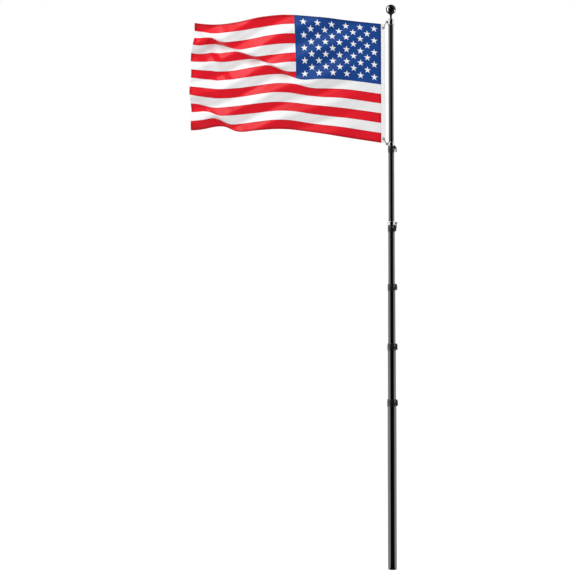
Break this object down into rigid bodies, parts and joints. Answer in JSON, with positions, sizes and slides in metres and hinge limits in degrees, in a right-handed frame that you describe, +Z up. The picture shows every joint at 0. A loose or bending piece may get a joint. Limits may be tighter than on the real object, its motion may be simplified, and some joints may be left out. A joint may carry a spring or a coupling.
{
  "type": "telescoping flagpole with flag",
  "caption": "Telescoping black flagpole with cam-lever clamps, ball finial, swivel rings and snap clips, flying one striped flag.",
  "frame": {"origin": "middle of the base cap's flat underside, on the pole's axis", "axes": "+Z up the pole, +X to the right in the picture, the flag flies towards -X, the picture is taken from -Y"},
  "size_m": [1.5961, 0.1154, 4.338],
  "materials": {
    "tube_black": "gloss black coating",
    "moulded_black": "satin moulded",
    "ball_black": "high gloss",
    "bright_ring": "polished",
    "clip_steel": "bright zinc",
    "flag_cloth": "woven, striped",
    "heading_canvas": "woven canvas",
    "grommet_brass": "polished"
  },
  "bodies": {
    "section_1": {"base_cap": "moulded_black", "tube_1": "tube_black", "clamp_1_collar": "moulded_black", "clamp_1_pin": "clip_steel"},
    "section_2": {"tube_2": "tube_black", "clamp_2_collar": "moulded_black", "clamp_2_pin": "clip_steel"},
    "section_3": {"tube_3": "tube_black", "clamp_3_collar": "moulded_black", "clamp_3_pin": "clip_steel"},
    "section_4": {"tube_4": "tube_black", "clamp_4_collar": "moulded_black", "clamp_4_pin": "clip_steel"},
    "section_5": {"tube_5": "tube_black", "clamp_5_collar": "moulded_black", "clamp_5_pin": "clip_steel"},
    "section_6": {"tube_6": "tube_black", "top_plug": "moulded_black", "top_washer": "clip_steel", "finial_neck": "ball_black", "finial_ball": "ball_black"},
    "lever_1": {"clamp_1_lever": "moulded_black"},
    "lever_2": {"clamp_2_lever": "moulded_black"},
    "lever_3": {"clamp_3_lever": "moulded_black"},
    "lever_4": {"clamp_4_lever": "moulded_black"},
    "lever_5": {"clamp_5_lever": "moulded_black"},
    "flag": {"top_swivel": "bright_ring", "lower_flag_ring": "bright_ring", "top_clip": "clip_steel", "lower_clip": "clip_steel", "flag_cloth": "flag_cloth", "flag_heading": "heading_canvas", "top_grommet": "grommet_brass", "lower_grommet": "grommet_brass"},
    "spare_ring": {"spare_ring": "bright_ring"},
    "spare_clip": {"spare_clip": "clip_steel"}
  },
  "joints": [
    {"name": "tube_2_slide", "type": "slide", "parent": "section_1", "child": "section_2", "axis": [0, 0, 1], "range_m": [-0.368, 0.686]},
    {"name": "tube_3_slide", "type": "slide", "parent": "section_2", "child": "section_3", "axis": [0, 0, 1], "range_m": [-0.397, 0.657]},
    {"name": "tube_4_slide", "type": "slide", "parent": "section_3", "child": "section_4", "axis": [0, 0, 1], "range_m": [-0.39, 0.664]},
    {"name": "tube_5_slide", "type": "slide", "parent": "section_4", "child": "section_5", "axis": [0, 0, 1], "range_m": [-0.52, 0.506]},
    {"name": "tube_6_slide", "type": "slide", "parent": "section_5", "child": "section_6", "axis": [0, 0, 1], "range_m": [0, 0.159]},
    {"name": "lever_1_flip", "type": "hinge", "parent": "section_1", "child": "lever_1", "pos_m": [0.02856, -0.02663, 1.29], "axis": [-0.682, -0.7314, 0], "range_deg": [0, 90]},
    {"name": "lever_2_flip", "type": "hinge", "parent": "section_2", "child": "lever_2", "pos_m": [0.02724, -0.02368, 1.719], "axis": [-0.6561, -0.7547, 0], "range_deg": [0, 90]},
    {"name": "lever_3_flip", "type": "hinge", "parent": "section_3", "child": "lever_3", "pos_m": [0.02647, -0.01995, 2.177], "axis": [-0.6018, -0.7986, 0], "range_deg": [0, 90]},
    {"name": "lever_4_flip", "type": "hinge", "parent": "section_4", "child": "lever_4", "pos_m": [0.02021, -0.02244, 2.628], "axis": [-0.7431, -0.6691, 0], "range_deg": [0, 90]},
    {"name": "lever_5_flip", "type": "hinge", "parent": "section_5", "child": "lever_5", "pos_m": [0.02684, -0.00473, 3.237], "axis": [-0.1736, -0.9848, 0], "range_deg": [0, 90]},
    {"name": "flag_swivel", "type": "hinge", "parent": "section_6", "child": "flag", "pos_m": [0, 0, 4.2], "axis": [0, 0, 1], "continuous": true},
    {"name": "spare_ring_swivel", "type": "hinge", "parent": "section_4", "child": "spare_ring", "pos_m": [0, 0, 2.66], "axis": [0, 0, 1], "range_deg": [0, 265]},
    {"name": "spare_clip_swing", "type": "hinge", "parent": "spare_ring", "child": "spare_clip", "pos_m": [0.0372, 0, 2.6588], "axis": [0, -1, 0], "range_deg": [0, 100]}
  ]
}
